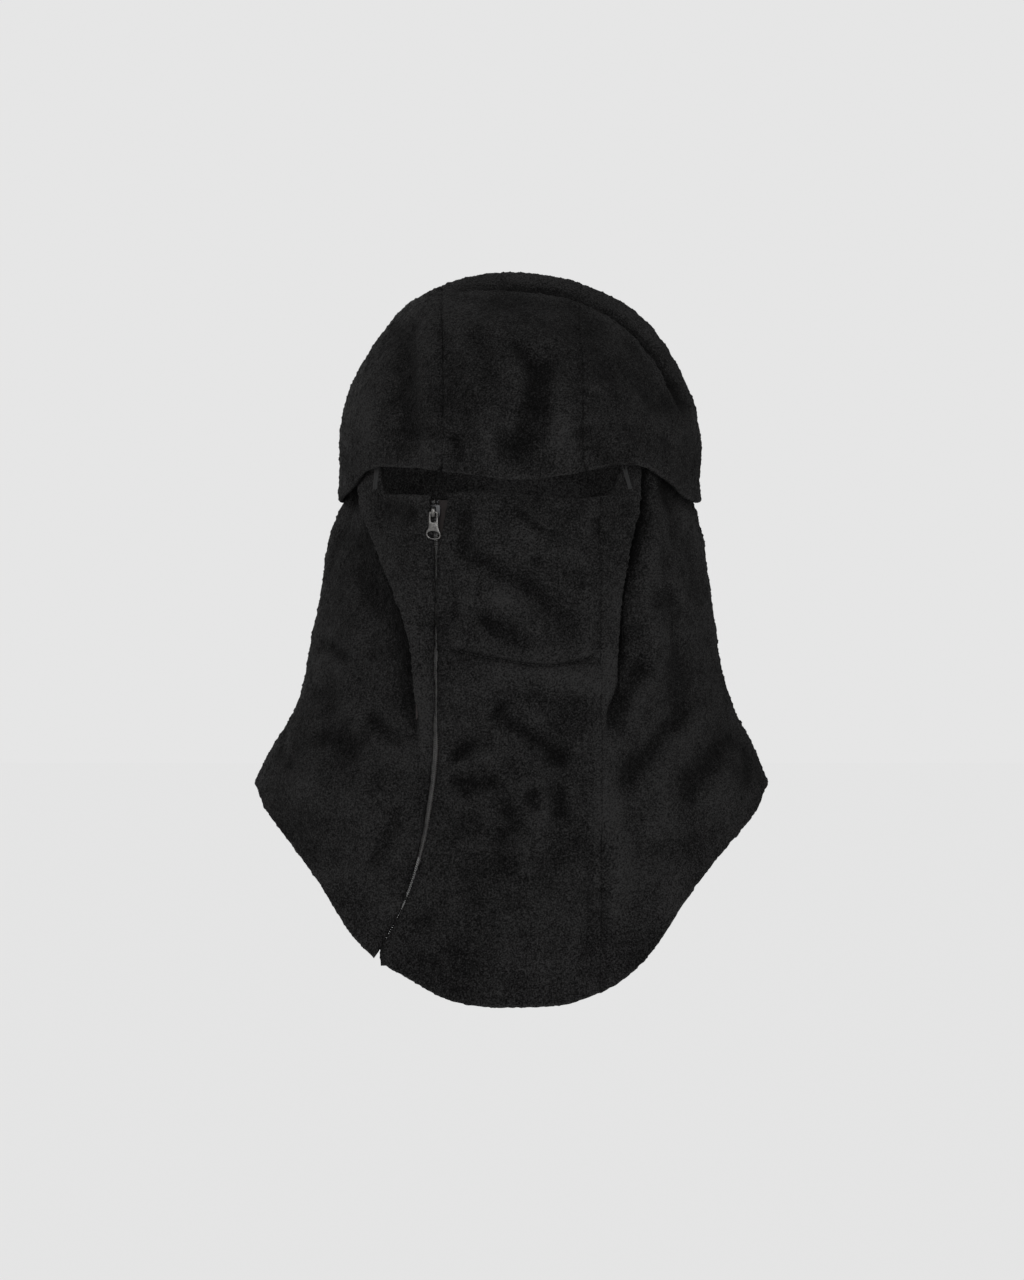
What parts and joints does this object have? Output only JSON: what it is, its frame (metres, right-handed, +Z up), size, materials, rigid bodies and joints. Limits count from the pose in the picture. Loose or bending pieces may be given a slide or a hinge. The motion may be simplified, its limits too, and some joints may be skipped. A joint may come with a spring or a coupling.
{
  "type": "zip-front fleece balaclava",
  "caption": "Black pile-fleece balaclava with a panelled hood, an eye slot under an overhanging brim and a long pointed drape that opens with an offset zip.",
  "frame": {"origin": "where the top of the head touches the inside of the crown", "axes": "+Z up, -Y the way the face looks, +X the wearer's left (the viewer's right when facing the object)"},
  "size_m": [0.3263, 0.2385, 0.465],
  "materials": {
    "fleece": "short soft pile, matt with a faint sheen",
    "lining": "brushed knit, matt",
    "grey_tape": "narrow woven tape",
    "zip_tape": "woven twill tape",
    "zip_coil": "satin nylon coil",
    "zip_metal": "gunmetal plated"
  },
  "bodies": {
    "garment": {"hood_centre_panel": "fleece", "hood_side_left": "fleece", "hood_side_right": "fleece", "brim_facing": "lining", "front_left_panel": "fleece", "front_centre_panel": "fleece", "front_right_panel": "fleece", "back_panel": "fleece", "mouth_lining": "lining", "slot_tape_left": "grey_tape", "slot_tape_right": "grey_tape", "zip_tape_left": "zip_tape", "zip_tape_right": "zip_tape", "zip_coil_left": "zip_coil", "zip_coil_right": "zip_coil", "zip_top_stop_left": "zip_metal", "zip_top_stop_right": "zip_metal", "zip_bottom_stop": "zip_metal"},
    "zip_slider": {"slider_body": "zip_metal", "slider_crown": "zip_metal", "slider_lock_spring": "zip_metal"},
    "puller": {"pull_tab": "zip_metal"}
  },
  "joints": [
    {"name": "zip_slide", "type": "slide", "parent": "garment", "child": "zip_slider", "axis": [0, -0.0599, -0.9982], "range_m": [0, 0.135]},
    {"name": "puller_flip", "type": "hinge", "parent": "zip_slider", "child": "puller", "pos_m": [-0.04964, -0.10017, -0.14853], "axis": [-0.9767, 0.2141, -0.0128], "range_deg": [0, 150]}
  ]
}
